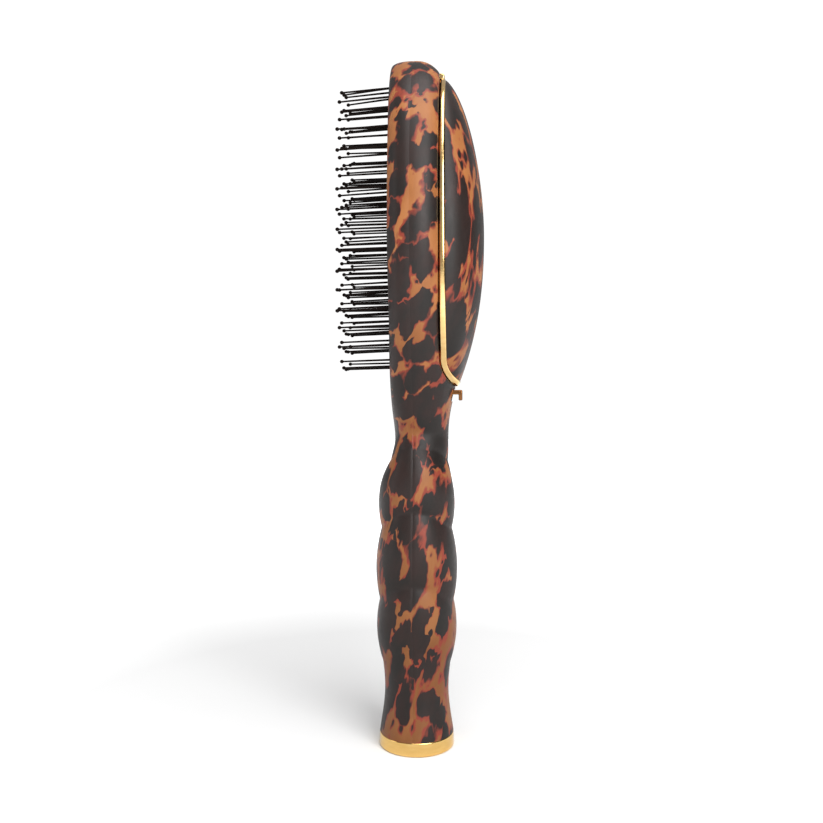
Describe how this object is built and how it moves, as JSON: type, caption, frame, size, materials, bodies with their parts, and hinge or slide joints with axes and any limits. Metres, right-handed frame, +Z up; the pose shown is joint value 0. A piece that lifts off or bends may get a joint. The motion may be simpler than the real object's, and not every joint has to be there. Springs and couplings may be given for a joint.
{
  "type": "storage hairbrush",
  "caption": "Oval cushion hairbrush that stands on its gold end cap, with ball-tipped bristles, a lobed grip, and a latched back lid over a compartment and mirror",
  "frame": {"origin": "middle of the end cap's flat underside, on which the brush stands", "axes": "+Z up the brush from the end cap to the head, -Y the way the bristles point, +Y the back lid, X across the head; symmetric about X = 0"},
  "size_m": [0.055, 0.0475, 0.229],
  "materials": {
    "tortoiseshell": "satin moulded acetate-look plastic, mottled dark brown and amber",
    "gold_metal": "polished pale gold plating over solid brass",
    "gold_trim": "polished pale gold",
    "cushion_rubber": "matt black rubber",
    "bristle_nylon": "glossy black nylon",
    "inner_plastic": "matt dark moulded plastic",
    "frame_plastic": "satin dark moulded plastic",
    "steel": "bright drawn wire",
    "mirror_glass": "silvered glass",
    "adhesive_tape": "foam tape"
  },
  "bodies": {
    "brush": {"front_shell": "tortoiseshell", "back_shell": "tortoiseshell", "end_cap": "gold_metal", "bristle_pad": "cushion_rubber", "pad_backing_plate": "inner_plastic", "bristle_row_1": "bristle_nylon", "bristle_row_2": "bristle_nylon", "bristle_row_3": "bristle_nylon", "bristle_row_4": "bristle_nylon", "bristle_row_5": "bristle_nylon", "bristle_row_6": "bristle_nylon", "bristle_row_7": "bristle_nylon", "bristle_row_8": "bristle_nylon", "bristle_row_9": "bristle_nylon", "compartment_tray": "inner_plastic", "hinge_bracket": "gold_trim", "hinge_pin": "steel", "latch_guide": "inner_plastic", "latch_spring": "steel"},
    "lid": {"lid_shell": "tortoiseshell", "lid_bezel": "gold_trim", "mirror_frame": "frame_plastic", "mirror": "mirror_glass", "mirror_tape": "adhesive_tape", "lid_catch": "frame_plastic"},
    "latch": {"latch_slide": "gold_trim"}
  },
  "joints": [
    {"name": "lid_hinge", "type": "hinge", "parent": "brush", "child": "lid", "pos_m": [0, 0.0086, 0.2224], "axis": [1, 0, 0], "range_deg": [0, 105]},
    {"name": "latch_press", "type": "slide", "parent": "brush", "child": "latch", "axis": [0, 0, -1], "range_m": [0, 0.002], "stiffness_N_per_m": 400, "deforming": ["latch_spring"]}
  ]
}
